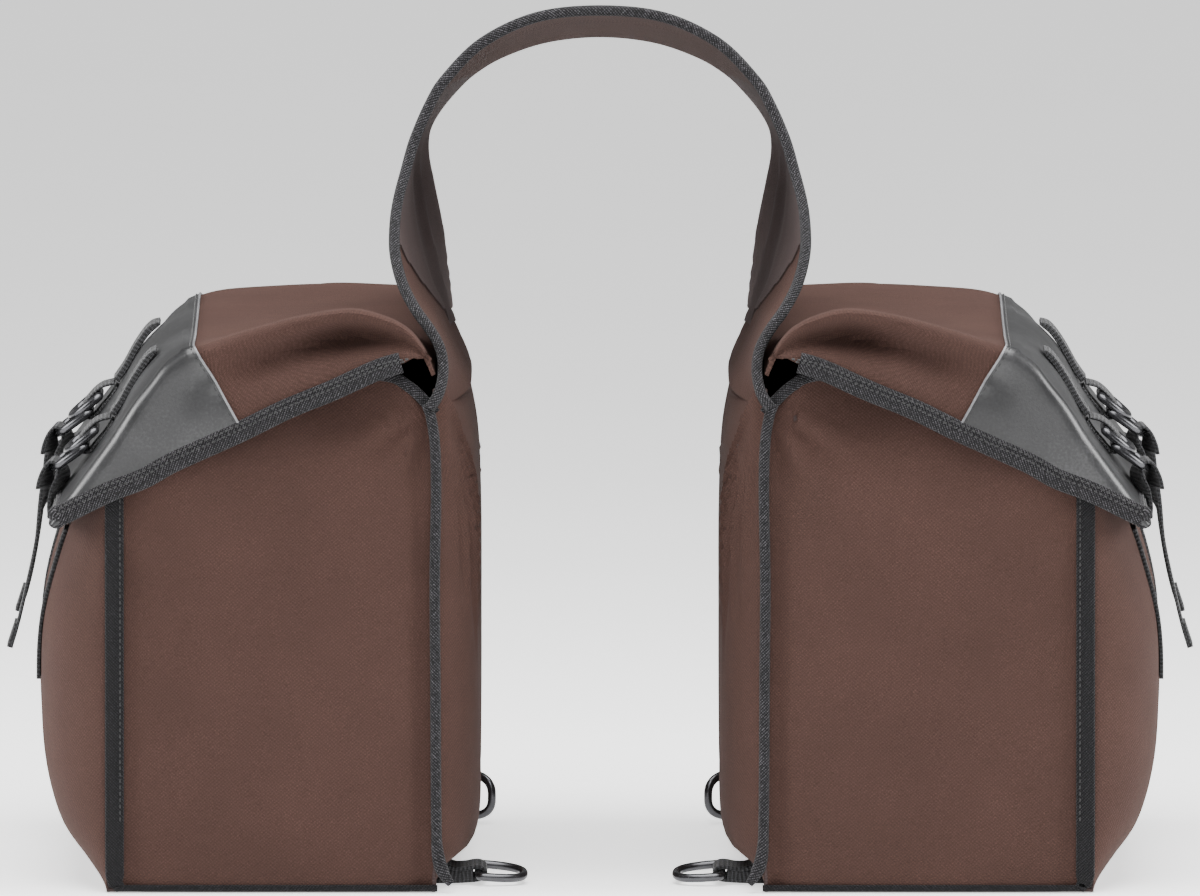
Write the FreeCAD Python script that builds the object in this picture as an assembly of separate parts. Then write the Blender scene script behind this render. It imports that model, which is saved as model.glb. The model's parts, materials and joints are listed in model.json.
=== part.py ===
import FreeCAD, Part
import math
import os

# Double canvas saddle bag: two bags joined by an arched canvas bridge.
# +Z is up, X runs across the bicycle, Y along it, and the origin is on the floor
# at the middle. Profiles are in (u, z), where u is the distance from the middle
# plane. Each bag is built on the +X side, and the left one is its mirror image.

V = FreeCAD.Vector

# ---- driving dimensions, mm -------------------------------------------------
HALF_LENGTH = 165.0        # half the length of a bag
U_RACK_SEAM = 84.0         # rack-side seam
U_OUTER_SEAM = 252.0       # outer seam
RACK_BULGE = 23.0          # rack panel stands this far inside its seam
CANVAS = 2.0               # canvas wall
FLAP_WALL = 2.4            # flap cloth with its lining
BOARD = 3.0                # stiffener boards
TAPE = 1.2                 # folded binding tape
WEBBING = 1.6              # strap webbing
LOOP_WEBBING = 1.2         # thinner webbing of the loops that hold the rings
STRAP_WIDTH = 25.0
STRAP_Y = 85.0             # straps at this distance from the middle
RING_TUBE = 4.5            # ring wire
BAR_CORNER = 3.5           # ring centre line's corners, at its bar and its bow
BOW_CORNER = 6.0
GAP = 0.5                  # room between neighbouring pieces

SKIRT_IN = 168.0           # inner face of the flap's end skirts
SKIRT_OUT = SKIRT_IN + FLAP_WALL
HEM_BAND = 8.0             # width of the flap's hem tape
FLAP_TOP = 278.0
ROOT_END = 108.0           # sewn-down strip of the flap ends here
FLAP_START = 111.0         # swinging part of the flap starts here

# outer panel: middle profile (u, z) and half its plan (u, y)
OUTER_PROFILE = [
    (U_OUTER_SEAM, 0.0), (268, 13), (276, 31), (283, 60), (285, 97),
    (284, 133), (275, 169), (268, 190), (256, 212), (U_OUTER_SEAM, 212),
]
OUTER_PLAN = [(U_OUTER_SEAM, 165.0), (271, 152), (281, 128), (286, 90)]

# rack panel: flat against the rack in the middle, pulled in to its seams
RACK_FACE = U_RACK_SEAM - RACK_BULGE
RACK_PROFILE = [
    (U_RACK_SEAM, 0.0), (66, 14), (RACK_FACE, 45), (RACK_FACE, 212),
    (64, 234), (71, 250), (U_RACK_SEAM, 250),
]
RACK_PLAN = [(U_RACK_SEAM, 165.0), (70, 150), (RACK_FACE, 110)]

# gusset top edge, from the rack corner to the outer seam
MOUTH_LINE = [
    (U_RACK_SEAM, 247), (96, 259), (110, 267), (198, 267), (216, 262),
    (231, 243), (242, 224), (U_OUTER_SEAM, 209),
]

# flap: outer line over the bag, and hem line of its end skirts
FLAP_LINE = [
    (FLAP_START, FLAP_TOP), (204, FLAP_TOP), (223, 271), (237, 254),
    (248, 234), (268, 207), (280, 190),
]
HEM_LINE = [(275, 188), (229, 217), (181, 240), (138, 260), (FLAP_START, 269)]
PATCH_SEAM = [(204, FLAP_TOP + 5), (204, FLAP_TOP), (183, 238), (183, 180)]

# bridge stations from rack panel to crown:
# near edge (u, z), far edge (u, z), half width
BRIDGE = [
    ((83, 253), (80, 253), 165), ((78, 267), (77.5, 266), 161),
    ((80, 279), (77.5, 279), 151), ((89, 296), (78, 295), 136),
    ((100, 309), (80.5, 307), 121), ((105, 329), (83, 327), 105),
    ((106, 343), (85, 341), 95), ((103, 362), (88, 358), 83),
    ((96, 381), (85, 376), 75), ((82, 407), (73, 396), 68),
    ((61, 424), (54, 409), 64), ((36, 436), (31, 417), 62),
    ((0, 442), (0, 420), 61),
]
BRIDGE_CANVAS = 2.0
BRIDGE_LINING = 1.2

# closures: strap on the leather, loop with two rings, threaded strap, tail
RING_SPAN = 33.0           # ring's centre line along its bar
LOOP_TOP = (250.5, 236.5)  # the closure swings about this line
UPPER_BAR, UPPER_BOW = (258.5, 230.0), (272.5, 218.5)
LOWER_BAR, LOWER_BOW = (263.5, 222.0), (280.0, 210.0)
TAIL_LINE = [(286.5, 197.0), (286, 181), (291.5, 141), (299, 118)]
ANCHOR_LINE = [(281, 178), (287.3, 141), (288.4, 116), (286.6, 103)]

# tie-down rings at the bottom of the rack side
REAR_RING_Y = -122.0
REAR_BAR_U, REAR_BOW_U = 62.0, 39.0
REAR_TILT = 8.0            # the rear ring lies with its front side raised, degrees
REAR_BAR_Z = 6.3
REAR_BOW_Z = 4.4
FRONT_RING_BAR = (71.0, 156.5)
FRONT_RING_BOW = (56.0, 143.0)
FRONT_RING_Z = 14.0
BASE_RING_SPAN = 26.0
FRONT_RING_SPAN = 22.0
TAB_WIDTH = 17.0
FRONT_TAB_WIDTH = 12.0


# ---- helpers ----------------------------------------------------------------
def prism_y(points, y0, y1):
    """Solid of an (u, z) outline between two Y planes."""
    wire = [V(u, y0, z) for u, z in points]
    face = Part.Face(Part.makePolygon(wire + [wire[0]]))
    return face.extrude(V(0, y1 - y0, 0))


def prism_z(points, z0, z1):
    """Solid of an (u, y) outline between two heights."""
    wire = [V(u, y, z0) for u, y in points]
    face = Part.Face(Part.makePolygon(wire + [wire[0]]))
    return face.extrude(V(0, 0, z1 - z0))


def box(u0, u1, y0, y1, z0, z1):
    return Part.makeBox(u1 - u0, y1 - y0, z1 - z0, V(u0, y0, z0))


def offset_line(points, distance):
    """Open line moved sideways to its right, with mitred corners."""
    moved = []
    for i, (u, z) in enumerate(points):
        normals = []
        for a, b in ((i - 1, i), (i, i + 1)):
            if a >= 0 and b < len(points):
                du = points[b][0] - points[a][0]
                dz = points[b][1] - points[a][1]
                length = math.hypot(du, dz)
                normals.append((dz / length, -du / length))
        nu = sum(n[0] for n in normals)
        nz = sum(n[1] for n in normals)
        size = math.hypot(nu, nz)
        nu, nz = nu / size, nz / size
        reach = distance / (nu * normals[0][0] + nz * normals[0][1])
        moved.append((u + nu * reach, z + nz * reach))
    return moved


def ribbon(points, thickness, y0, y1):
    """Strap along an open (u, z) line, thick to the line's right."""
    return prism_y(points + offset_line(points, thickness)[::-1], y0, y1)


def wrap(centre, radius, start, end):
    """Corners, 45 degrees apart, of an open polygon that a circle fits inside."""
    reach = radius / math.cos(math.radians(22.5))
    steps = round(abs(end - start) / 45)
    angles = [math.radians(start + (end - start) * (i + 0.5) / steps) for i in range(steps)]
    return [(centre[0] + reach * math.cos(a), centre[1] + reach * math.sin(a)) for a in angles]


def mirror_y(shape):
    return shape.mirror(V(0, 0, 0), V(0, 1, 0))


def both_ends(shape):
    return Part.makeCompound([shape, mirror_y(shape)])


def full_plan(half):
    return half + [(u, -y) for u, y in reversed(half)]


def d_ring(bar, bow, across, span):
    """Closed ring of round wire: bar and bow are the middles of its long sides."""
    half = across * (span / 2)
    corners = [bar - half, bar + half, bow + half, bow - half]
    radii = [BAR_CORNER, BAR_CORNER, BOW_CORNER, BOW_CORNER]
    edges = []
    for i, corner in enumerate(corners):
        after = corners[(i + 1) % 4]
        before = corners[i - 1]
        forward = (after - corner).normalize()
        backward = (before - corner).normalize()
        middle = corner + (forward + backward) * (radii[i] * (1 - math.sqrt(0.5)))
        start, end = corner + backward * radii[i], corner + forward * radii[i]
        edges.append(Part.Arc(start, middle, end).toShape())
        edges.append(Part.makeLine(end, after - forward * radii[(i + 1) % 4]))
    profile = Part.Wire(Part.makeCircle(RING_TUBE / 2, bar - half + across * BAR_CORNER, across))
    return Part.Wire(edges).makePipeShell([profile], True, False)


def save(name, shape):
    shape.exportStep("parts/" + name + ".step")


def save_pair(name, shape):
    """Write a piece of the right bag, and its mirror image for the left bag."""
    save("right_" + name, shape)
    save("left_" + name, shape.mirror(V(0, 0, 0), V(1, 0, 0)))


# ---- bag shell --------------------------------------------------------------
def outer_panel():
    full = prism_y(OUTER_PROFILE, -HALF_LENGTH, HALF_LENGTH)
    plan = full_plan(OUTER_PLAN)
    full = full.common(prism_z(plan, 0, 212))
    return full.cut(full.translated(V(-CANVAS, 0, 0)))


def rack_panel():
    full = prism_y(RACK_PROFILE, -HALF_LENGTH, HALF_LENGTH)
    full = full.common(prism_z(full_plan(RACK_PLAN), 0, 250))
    return full.cut(full.translated(V(CANVAS, 0, 0)))


def gusset_outline():
    return [(U_RACK_SEAM, 0), (U_OUTER_SEAM, 0)] + MOUTH_LINE[::-1]


def rear_gusset():
    return prism_y(gusset_outline(), -HALF_LENGTH, -HALF_LENGTH + CANVAS)


def base_panel():
    inner = HALF_LENGTH - CANVAS
    return box(U_RACK_SEAM, U_OUTER_SEAM, -inner, inner, 0, CANVAS)


def rack_board():
    face = RACK_FACE + CANVAS + GAP
    return box(face, face + BOARD, -104, 104, 48, 200)


def base_board():
    bottom = CANVAS + GAP
    return box(U_RACK_SEAM + 6, U_OUTER_SEAM - 6, -156, 156, bottom, bottom + BOARD)


def end_tape(u0, u1, z0, z1):
    face = HALF_LENGTH + 0.1
    return both_ends(box(u0, u1, -face - TAPE, -face, z0, z1))


def mouth_binding():
    """Tape on the upper edge of both gussets and of the outer panel."""
    face = HALF_LENGTH + 0.1
    line = MOUTH_LINE[:-1] + [(244, 221)]
    ends = both_ends(ribbon(line, 7.0, -face - TAPE, -face))
    front = ribbon([(269.6, 190.0), (257.6, 212)], TAPE, -88, 88)
    return Part.makeCompound([ends, front])


# ---- flap -------------------------------------------------------------------
def flap_shell():
    outside = prism_y(FLAP_LINE + HEM_LINE, -SKIRT_OUT, SKIRT_OUT)
    inner_line = offset_line(FLAP_LINE, FLAP_WALL)
    last = inner_line[-1]
    below = [(last[0] + 3, last[1] - 5), (last[0], 150), (FLAP_START - 5, 150)]
    start = [(FLAP_START - 5, FLAP_TOP - FLAP_WALL)]
    inside = prism_y(start + inner_line + below, -SKIRT_IN, SKIRT_IN)
    return outside.cut(inside)


def hem_zone():
    upper = [(u + 3, z + HEM_BAND + 1) for u, z in HEM_LINE]
    edge = [(FLAP_START - 5, 262), (300, 170), (300, upper[0][1])]
    upper[0] = (300, upper[0][1] + 2)
    edge[2] = upper[0]
    return prism_y([edge[0], edge[1]] + upper + [(FLAP_START - 5, 279)], -200, 200)


def patch_zone():
    line = PATCH_SEAM + [(310, 180), (310, FLAP_TOP + 5)]
    return prism_y(line, -200, 200)


def flap_root():
    return box(U_RACK_SEAM, ROOT_END, -HALF_LENGTH, HALF_LENGTH, FLAP_TOP - FLAP_WALL, FLAP_TOP)


# ---- closures ---------------------------------------------------------------
def y_span(y):
    return y - STRAP_WIDTH / 2, y + STRAP_WIDTH / 2


def flap_strap(y):
    line = offset_line([(224.5, 269.2), (237, 254), (246.2, 237.3)], -0.2)
    return ribbon(line[::-1], WEBBING, *y_span(y))


def cinch_loop(y):
    """Webbing round the bars of both rings, hanging from the strap's end."""
    side = RING_TUBE / 2 + GAP
    outer = offset_line([LOOP_TOP, UPPER_BAR, LOWER_BAR], -side)
    inner = offset_line([LOOP_TOP, UPPER_BAR, LOWER_BAR], side)
    around = wrap(LOWER_BAR, side, 32, -148)
    path = [LOOP_TOP, outer[1]] + around + [inner[1]]
    return ribbon(path[::-1], LOOP_WEBBING, *y_span(y))


def cinch_rings(y):
    rings = []
    for bar, bow in ((UPPER_BAR, UPPER_BOW), (LOWER_BAR, LOWER_BOW)):
        start = V(bar[0], y, bar[1])
        end = V(bow[0], y, bow[1])
        rings.append(d_ring(start, end, V(0, 1, 0), RING_SPAN))
    return Part.makeCompound(rings)


def cinch_strap(y):
    """Strap that comes up outside the hem, over the lower ring and down again."""
    over = wrap(LOWER_BOW, RING_TUBE / 2 + GAP, -20, 205)
    line = [(286.0, 199.5)] + over + [(278.5, 203.5), (282.8, 196.5), (282.2, 184.0)]
    return ribbon(line, WEBBING, *y_span(y))


def strap_tail(y):
    tail = ribbon(TAIL_LINE[::-1], WEBBING, *y_span(y))
    tip_end = TAIL_LINE[-1]
    before = TAIL_LINE[-2]
    run = math.hypot(tip_end[0] - before[0], tip_end[1] - before[1])
    share = 14.0 / run
    tip_top = (tip_end[0] + (before[0] - tip_end[0]) * share,
               tip_end[1] + (before[1] - tip_end[1]) * share)
    fold = offset_line([tip_end, tip_top], WEBBING)
    return tail.fuse(ribbon(fold, WEBBING, *y_span(y)))


def anchor_strap(y):
    return ribbon(ANCHOR_LINE[::-1], WEBBING, *y_span(y))


# ---- tie-down rings ---------------------------------------------------------
def tilted(shape):
    turned = shape.copy()
    turned.rotate(V(REAR_BAR_U, REAR_RING_Y, REAR_BAR_Z), V(1, 0, 0), REAR_TILT)
    return turned


def rear_ring_tab():
    """Webbing folded round the bar of the rear ring, sewn in the bottom corner."""
    reach = RING_TUBE / 2 + GAP
    y0, y1 = REAR_RING_Y - TAB_WIDTH / 2, REAR_RING_Y + TAB_WIDTH / 2
    u, z = REAR_BAR_U, REAR_BAR_Z
    around = wrap((u, z), reach, 90, 270)
    tab = ribbon([(69.8, z + reach)] + around + [(72, z - reach)], WEBBING, y0, y1)
    return tilted(tab)


def rear_base_ring():
    bar = V(REAR_BAR_U, REAR_RING_Y, REAR_BAR_Z)
    bow = V(REAR_BOW_U, REAR_RING_Y, REAR_BOW_Z)
    return tilted(d_ring(bar, bow, V(0, 1, 0), BASE_RING_SPAN))


def front_ring_tab():
    """Webbing folded round the upright bar of the front ring."""
    reach = RING_TUBE / 2 + GAP
    u, y = FRONT_RING_BAR
    z0, z1 = FRONT_RING_Z - FRONT_TAB_WIDTH / 2, FRONT_RING_Z + FRONT_TAB_WIDTH / 2
    around = wrap(FRONT_RING_BAR, reach, 90, 270)
    out = [(u + 3.5, y + reach)] + around + [(u + 0.6, y - reach)]
    back = offset_line(out, WEBBING)
    return prism_z(out + back[::-1], z0, z1)


def front_base_ring():
    bar = V(FRONT_RING_BAR[0], FRONT_RING_BAR[1], FRONT_RING_Z)
    bow = V(FRONT_RING_BOW[0], FRONT_RING_BOW[1], FRONT_RING_Z)
    return d_ring(bar, bow, V(0, 0, 1), FRONT_RING_SPAN)


# ---- bridge -----------------------------------------------------------------
def bridge_edges(inset, depth):
    """Near and far edge lines of a layer, from the left bag to the right one.

    inset draws both edges towards the middle, depth moves the layer inwards."""
    near, far = [], []
    for side, order in ((-1, BRIDGE), (1, BRIDGE[-2::-1])):
        for near_uz, far_uz, half in order:
            near.append((side * near_uz[0], near_uz[1], -half + inset))
            far.append((side * far_uz[0], far_uz[1], half - inset))
    lines = []
    for line in (near, far):
        flat = offset_line([(x, z) for x, z, _ in line], depth)
        lines.append([V(x, y[2], z) for (x, z), y in zip(flat, line)])
    return lines


def sheet_solid(top, bottom):
    """Closed solid between two sheets, each a near and a far edge line."""
    faces = []

    def triangle(a, b, c):
        faces.append(Part.Face(Part.makePolygon([a, b, c, a])))

    def strip(line_a, line_b):
        for i in range(len(line_a) - 1):
            triangle(line_a[i], line_a[i + 1], line_b[i + 1])
            triangle(line_a[i], line_b[i + 1], line_b[i])

    strip(top[0], top[1])
    strip(bottom[0], bottom[1])
    strip(top[0], bottom[0])
    strip(top[1], bottom[1])
    for end in (0, -1):
        triangle(top[0][end], top[1][end], bottom[1][end])
        triangle(top[0][end], bottom[1][end], bottom[0][end])
    solid = Part.makeSolid(Part.makeShell(faces))
    if solid.Volume < 0:
        solid.reverse()
    return solid


def bridge_layer(start, thickness):
    return sheet_solid(bridge_edges(0, start), bridge_edges(0, start + thickness))


def bridge_tapes():
    """Tape that wraps each long edge of the bridge."""
    tapes = []
    total = BRIDGE_CANVAS + BRIDGE_LINING + 0.1
    outer = bridge_edges(-TAPE - 0.1, -0.1)
    outer_low = bridge_edges(-TAPE - 0.1, total)
    inner = bridge_edges(-0.1, -0.1)
    inner_low = bridge_edges(-0.1, total)
    for edge in (0, 1):
        top = (outer[edge], inner[edge])
        low = (outer_low[edge], inner_low[edge])
        tapes.append(sheet_solid(top, low))
    return Part.makeCompound(tapes)


# ---- build ------------------------------------------------------------------
os.makedirs("parts", exist_ok=True)

save("bridge_canvas", bridge_layer(0, BRIDGE_CANVAS))
save("bridge_lining", bridge_layer(BRIDGE_CANVAS, BRIDGE_LINING))
save("bridge_bindings", bridge_tapes())

gusset = rear_gusset()
save_pair("outer_panel", outer_panel())
save_pair("rack_panel", rack_panel())
save_pair("rear_gusset", gusset)
save_pair("front_gusset", mirror_y(gusset))
save_pair("base_panel", base_panel())
save_pair("rack_board", rack_board())
save_pair("base_board", base_board())

outer_tape = end_tape(U_OUTER_SEAM - 8, U_OUTER_SEAM + 1, 1, 208)
base_tape = end_tape(U_RACK_SEAM + 4, U_OUTER_SEAM - 8, 1, 8)
save_pair("outer_seam_binding", Part.makeCompound([outer_tape, base_tape]))
save_pair("rack_seam_binding", end_tape(U_RACK_SEAM - 3, U_RACK_SEAM + 4, 1, 238))
save_pair("mouth_binding", mouth_binding())

shell = flap_shell()
hem = shell.common(hem_zone())
upper = shell.cut(hem_zone())
save_pair("flap_root", flap_root())
save_pair("flap_binding", hem)
save_pair("flap_patch", upper.common(patch_zone()))
save_pair("flap_canvas", upper.cut(patch_zone()))
save_pair("flap_straps", Part.makeCompound([flap_strap(-STRAP_Y), flap_strap(STRAP_Y)]))
save_pair("anchor_straps", Part.makeCompound([anchor_strap(-STRAP_Y), anchor_strap(STRAP_Y)]))

for name, y in (("rear", -STRAP_Y), ("front", STRAP_Y)):
    save_pair(name + "_cinch_loop", cinch_loop(y))
    save_pair(name + "_cinch_rings", cinch_rings(y))
    save_pair(name + "_cinch_strap", cinch_strap(y))
    save_pair(name + "_strap_tail", strap_tail(y))

save_pair("rear_ring_tab", rear_ring_tab())
save_pair("rear_base_ring", rear_base_ring())
save_pair("front_ring_tab", front_ring_tab())
save_pair("front_base_ring", front_base_ring())
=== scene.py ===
import json
import math
import bpy
import numpy as np
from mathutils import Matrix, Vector


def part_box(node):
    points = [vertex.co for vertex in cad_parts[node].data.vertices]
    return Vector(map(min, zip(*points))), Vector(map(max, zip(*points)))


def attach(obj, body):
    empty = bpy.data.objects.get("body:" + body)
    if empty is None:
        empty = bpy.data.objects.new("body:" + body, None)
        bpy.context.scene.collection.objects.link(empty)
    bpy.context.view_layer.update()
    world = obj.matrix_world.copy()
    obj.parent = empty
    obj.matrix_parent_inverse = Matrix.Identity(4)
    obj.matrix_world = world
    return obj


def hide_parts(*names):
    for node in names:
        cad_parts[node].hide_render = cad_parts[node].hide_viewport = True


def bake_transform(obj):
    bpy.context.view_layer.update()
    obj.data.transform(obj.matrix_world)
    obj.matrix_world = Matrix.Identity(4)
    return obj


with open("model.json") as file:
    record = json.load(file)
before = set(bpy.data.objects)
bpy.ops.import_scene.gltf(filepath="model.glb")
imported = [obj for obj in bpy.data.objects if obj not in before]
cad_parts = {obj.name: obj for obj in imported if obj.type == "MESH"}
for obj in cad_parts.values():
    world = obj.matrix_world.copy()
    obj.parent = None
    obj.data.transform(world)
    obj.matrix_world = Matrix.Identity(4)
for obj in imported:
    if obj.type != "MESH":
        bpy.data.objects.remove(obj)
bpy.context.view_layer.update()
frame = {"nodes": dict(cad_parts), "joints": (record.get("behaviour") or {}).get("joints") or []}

# A double canvas saddle bag. Lengths of its shape are millimetres, in the frame's
# axes, and mesh() turns them into metres; materials and stage use metres. Each bag is
# described once, on the +X side, as (u, y, z) with u outward from the middle
# plane, and made twice: side +1 is the right bag and -1 the left one. A grid is
# a rows x columns array of such points on the outer face of a piece of cloth.


# ---- sizes read from the frame ---------------------------------------------
def corners(node):
    """Low and high corner of a node's box."""
    low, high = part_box(node)
    return np.array(low) * 1000, np.array(high) * 1000


gusset_low, gusset_high = corners("right_rear_gusset")
flap_high = corners("right_flap_canvas")[1]
hem_low, hem_high = corners("right_flap_binding")
tail_low, tail_high = corners("right_front_strap_tail")
joints = {j["name"]: j for j in frame["joints"]}

U_RACK, U_OUT = gusset_low[0], gusset_high[0]           # the end panels' upright edges
HALF = -gusset_low[1]                                   # half of a bag's length
RACK_FACE = corners("right_rack_panel")[0][0]           # furthest face toward the rack
OUTER_FACE = corners("right_outer_panel")[1][0]         # furthest face outward
SKIRT = flap_high[1] - 1.2                              # half length of the flap's cloth
HEM_TIP = (hem_high[0], hem_low[2])                     # outermost, lowest point of the hem
STRAP_Y = (tail_low[1] + tail_high[1]) / 2              # middle of the front strap
STRAP_WIDTH = tail_high[1] - tail_low[1]
HINGE_U = abs(joints["right_flap_hinge"]["pos_m"][0]) * 1000

CANVAS = 1.6                # thickness of the bag's cloth
FLAP_CLOTH = 2.0            # thickness of the flap's and the bridge's cloth
TUBE, WIRE_SIDES = 2.2, 14  # radius of the ring wire, and sides of its section
STITCH_LIFT, STITCH_SIDES = 0.15, 6     # height of a stitch off its cloth, and its sides
ENDS = ((-1, "rear"), (1, "front"))
STRAPS = (("rear", -STRAP_Y), ("front", STRAP_Y))

# flap: (u, z) line over the bag, and hem of its end skirts, root to front
FLAP_LINE = [
    (U_RACK, 275.5), (96, 277.3), (HINGE_U, 278), (150, 278.4), (207, 277.2), (215, 275),
    (223, 270.6), (231, 262.5), (238, 252.6), (247.5, 235), (257, 221.3), (268, 206.4),
    (275, 197), (HEM_TIP[0] - 0.5, HEM_TIP[1] + 1),
]
SEAM_POINT = 207.0          # u of the leather's seam on that line
HEM_LINE = [
    (101, 271.5), (114, 265.6), (134, 255), (158, 245), (180, 234), (206, 222.3),
    (229, 212), (252, 201), (268, 193), (HEM_TIP[0] - 1.2, HEM_TIP[1]),
]
HEM_SEAM = 4                # hem point below the leather's seam
# top edge of an end panel, from the rack side to the outer side
MOUTH_LINE = [
    (U_RACK, 247), (90, 254), (98, 261), (110, 266), (150, 267), (198, 266.5), (214, 262),
    (229, 245), (241, 226), (U_OUT, 209),
]

# bridge stations: near edge (u, z), far edge (u, z), half width
BRIDGE = [
    ((88, 249), (80, 249), 165.5), ((83.6, 256), (80, 257), 165),
    ((81.4, 264), (80, 266), 162), ((81.6, 272), (80.2, 274), 158),
    ((83.6, 279), (80.2, 281), 153), ((88.2, 286.5), (80.2, 288), 147),
    ((95.6, 296), (80.3, 297), 138), ((102.2, 308), (80.2, 311), 127),
    ((106, 322), (82.4, 325), 115), ((106.3, 335), (85.2, 340), 105),
    ((104.6, 348), (88.2, 353), 95), ((100.5, 363), (88.8, 367), 85),
    ((96, 378), (84, 379), 78), ((88, 396), (75, 391), 72),
    ((80, 408.5), (65.6, 400), 68), ((61, 427), (51, 409), 64),
    ((33, 440), (28, 417), 62), ((0, 443.5), (0, 420), 61),
]


def bridge_u(y, z):
    """Outer face of the bridge's leg at a given place, straight between its two edges."""
    near = np.array([[b[0][1], b[0][0], b[2]] for b in BRIDGE])
    far = np.array([[b[1][1], b[1][0]] for b in BRIDGE])
    half = np.interp(z, near[:, 0], near[:, 2])
    share = np.clip((y + half) / (2 * half), 0, 1)
    return (np.interp(z, near[:, 0], near[:, 1]) * (1 - share)
            + np.interp(z, far[:, 0], far[:, 1]) * share)


# ---- curves -----------------------------------------------------------------
def smooth(points, count):
    """Evenly spaced points along a smooth curve through the given ones."""
    points = np.array(points, float)
    # one more point beyond each end carries the end's direction on
    points = np.vstack([2 * points[0] - points[1], points, 2 * points[-1] - points[-2]])
    t = np.linspace(0, 1, 16, endpoint=False)[:, None]
    spans = []
    for i in range(1, len(points) - 2):
        a, b, c, d = points[i - 1:i + 3]
        spans.append(0.5 * (2 * b + (c - a) * t + (2 * a - 5 * b + 4 * c - d) * t ** 2
                            + (3 * b - a - 3 * c + d) * t ** 3))
    return resample(np.vstack(spans + [points[-2:-1]]), count)


def run_of(points):
    """Distance from the start of a polyline to each of its points."""
    return np.concatenate([[0], np.cumsum(np.linalg.norm(np.diff(points, axis=0), axis=1))])


def resample(points, count):
    """Evenly spaced points along a polyline."""
    points = np.array(points, float)
    run = run_of(points)
    even = np.linspace(0, run[-1], count)
    return np.stack([np.interp(even, run, column) for column in points.T], axis=1)


def length_of(points):
    return float(np.linalg.norm(np.diff(np.array(points, float), axis=0), axis=1).sum())


def hump(x, centre, width):
    """Bell of height 1."""
    return np.exp(-((x - centre) / width) ** 2)


def ramp(x, low, high):
    """Eased step from 0 at low to 1 at high."""
    t = np.clip((x - low) / (high - low), 0, 1)
    return t * t * (3 - 2 * t)


def unit(v):
    return v / np.maximum(np.linalg.norm(v, axis=-1, keepdims=True), 1e-9)


# ---- meshes -----------------------------------------------------------------
def mesh(name, verts, faces, materials, uvs=None, face_material=None, side=1, sharp=40):
    """Object from millimetre vertices. side -1 mirrors it to the left bag."""
    verts = np.array(verts, float) * 0.001
    if side < 0:
        verts = verts * [-1, 1, 1]
        faces = [tuple(reversed(f)) for f in faces]
    data = bpy.data.meshes.new(name)
    data.from_pydata(verts.tolist(), [], faces)
    if uvs is not None:
        layer = data.uv_layers.new(name="cloth")
        index = np.empty(len(data.loops), int)
        data.loops.foreach_get("vertex_index", index)
        layer.data.foreach_set("uv", (np.array(uvs, float)[index] * 0.001).ravel())
    for material in materials:
        data.materials.append(material)
    if face_material is not None:
        data.polygons.foreach_set("material_index", face_material)
    data.polygons.foreach_set("use_smooth", [True] * len(data.polygons))
    data.update()
    data.validate()
    if sharp:
        data.set_sharp_from_angle(angle=math.radians(sharp))
    obj = bpy.data.objects.new(name, data)
    bpy.context.scene.collection.objects.link(obj)
    return obj


def stacked(u, y, z):
    """Grid from coordinates that may each vary one way only."""
    return np.stack(np.broadcast_arrays(u, y, z), axis=2)


def grid_normals(grid):
    du = np.gradient(grid, axis=0)
    dv = np.gradient(grid, axis=1)
    return unit(np.cross(du, dv))


def cloth(name, grid, thickness, materials, side=1, facing=(0, 0, 1), offset=0.0):
    """Closed sheet: grid is its outer face, which offset lifts; thickness goes behind it."""
    rows, columns = grid.shape[:2]
    count = rows * columns
    flip = (grid_normals(grid)[rows // 4:, columns // 4:].mean(axis=(0, 1)) @ facing) < 0
    normal = grid_normals(grid) * (-1 if flip else 1)
    top = grid + normal * offset
    bottom = top - normal * thickness
    along = np.linalg.norm(np.diff(grid, axis=0), axis=2)
    across = np.linalg.norm(np.diff(grid, axis=1), axis=2)
    v = np.concatenate([np.zeros((1, columns)), np.cumsum(along, axis=0)])
    u = np.concatenate([np.zeros((rows, 1)), np.cumsum(across, axis=1)], axis=1)
    u = u - u[:, [columns // 2]]
    uv = np.stack([u, v], axis=2).reshape(-1, 2)
    index = np.arange(count).reshape(rows, columns)
    quad = np.stack([index[:-1, :-1], index[1:, :-1], index[1:, 1:], index[:-1, 1:]], axis=2)
    front = quad.reshape(-1, 4)
    behind = (quad + count).reshape(-1, 4)[:, ::-1]
    if flip:
        front, behind = front[:, ::-1], behind[:, ::-1]
    ring = np.concatenate([index[0, :-1], index[:-1, -1], index[-1, :0:-1], index[:0:-1, 0]])
    following = np.roll(ring, -1)
    rim = np.stack([ring, following, following + count, ring + count], axis=1)
    if flip:
        rim = rim[:, ::-1]
    faces = [tuple(f) for f in np.vstack([front, behind, rim]).tolist()]
    # the back and the rim take the second material where there is one
    kinds = [0] * len(front) + [min(1, len(materials) - 1)] * (len(behind) + len(rim))
    verts = np.vstack([top.reshape(-1, 3), bottom.reshape(-1, 3)])
    return mesh(name, verts, faces, materials, np.vstack([uv, uv]), kinds, side)


def frames(path, ups):
    """Tangent, lateral and up directions at each point of a path."""
    tangent = unit(np.gradient(path, axis=0))
    ups = np.broadcast_to(np.array(ups, float), path.shape)
    lateral = unit(np.cross(tangent, ups))
    return tangent, lateral, unit(np.cross(lateral, tangent))


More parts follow.
